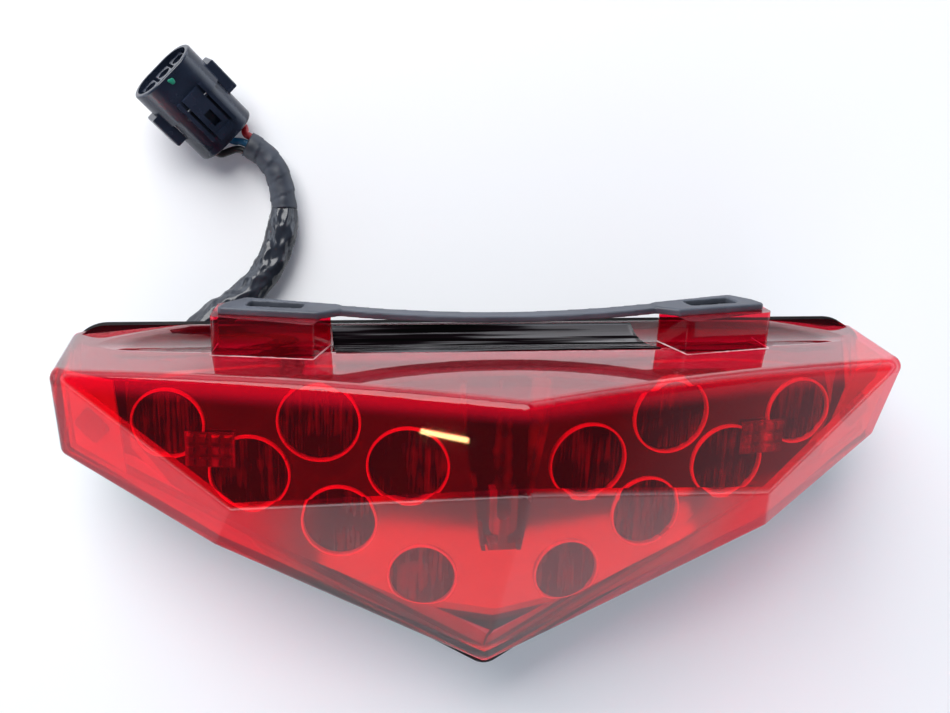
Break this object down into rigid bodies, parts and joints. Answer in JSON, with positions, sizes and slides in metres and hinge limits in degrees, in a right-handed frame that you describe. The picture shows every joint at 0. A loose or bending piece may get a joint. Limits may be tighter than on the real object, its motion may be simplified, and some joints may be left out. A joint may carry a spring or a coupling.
{
  "type": "motorcycle tail light",
  "caption": "Faceted wedge-shaped red tail light with round fluted optics, black rear tub, rubber damper along the top, and a short lead with a sealed plug.",
  "frame": {"origin": "middle of the footprint of the light itself, on the ground under its rear bosses", "axes": "+X to the right, +Y towards the top of the vehicle, +Z out of the lens; the light lies on its back"},
  "size_m": [0.223, 0.1724, 0.1014],
  "materials": {
    "red_lens": "clear deep red, glossy",
    "black_plastic": "fine grained black",
    "seal_rubber": "soft grey black",
    "brass": "turned",
    "damper_rubber": "moulded dark grey rubber",
    "carrier_plastic": "very dark",
    "cup_plastic": "red edge-lit rim",
    "optic_plastic": "clear fluted",
    "board": "solder resist",
    "led_plastic": "white package",
    "chip_plastic": "moulded",
    "steel": "zinc plated",
    "sleeve_vinyl": "crinkled vinyl",
    "plug_plastic": "black nylon, slight sheen",
    "terminal_tin": "tin plated",
    "wire_red_vinyl": "vinyl insulation",
    "wire_blue_vinyl": "vinyl insulation",
    "wire_black_vinyl": "vinyl insulation with a thin stripe"
  },
  "bodies": {
    "lamp": {"outer_lens": "red_lens", "rear_housing": "black_plastic", "lens_seal": "seal_rubber", "mount_inserts": "brass", "breather_cap": "seal_rubber", "lead_gland": "damper_rubber", "carrier_plate": "carrier_plastic", "reflector_cups": "cup_plastic", "fluted_discs": "optic_plastic", "circuit_board_left": "board", "circuit_board_right": "board", "light_sources": "led_plastic", "board_chips": "chip_plastic", "board_screws": "steel", "middle_cover": "carrier_plastic", "middle_clip": "optic_plastic", "side_baffle_left": "carrier_plastic", "side_baffle_right": "carrier_plastic", "side_reflector_left": "optic_plastic", "side_reflector_right": "optic_plastic", "reflex_grids": "optic_plastic", "rubber_damper": "damper_rubber", "harness_sleeve": "sleeve_vinyl", "plug_housing": "plug_plastic", "plug_seal": "seal_rubber", "plug_terminals": "terminal_tin", "wire_seals": "seal_rubber", "wire_red": "wire_red_vinyl", "wire_blue": "wire_blue_vinyl", "wire_black": "wire_black_vinyl", "board_header": "chip_plastic", "inner_lead": "wire_black_vinyl"},
    "latch": {"plug_latch": "plug_plastic"},
    "retainer_left": {"plug_retainer_left": "plug_plastic"},
    "retainer_right": {"plug_retainer_right": "plug_plastic"}
  },
  "joints": [
    {"name": "latch_press", "type": "hinge", "parent": "lamp", "child": "latch", "pos_m": [-0.07652, 0.10484, 0.01983], "axis": [-0.682, -0.7314, 0], "range_deg": [-5, 0], "stiffness_Nm_per_rad": 0.02},
    {"name": "retainer_left_slide", "type": "slide", "parent": "lamp", "child": "retainer_left", "axis": [-0.682, -0.7314, 0], "range_m": [0, 0.0015]},
    {"name": "retainer_right_slide", "type": "slide", "parent": "lamp", "child": "retainer_right", "axis": [0.682, 0.7314, 0], "range_m": [0, 0.0015]}
  ]
}
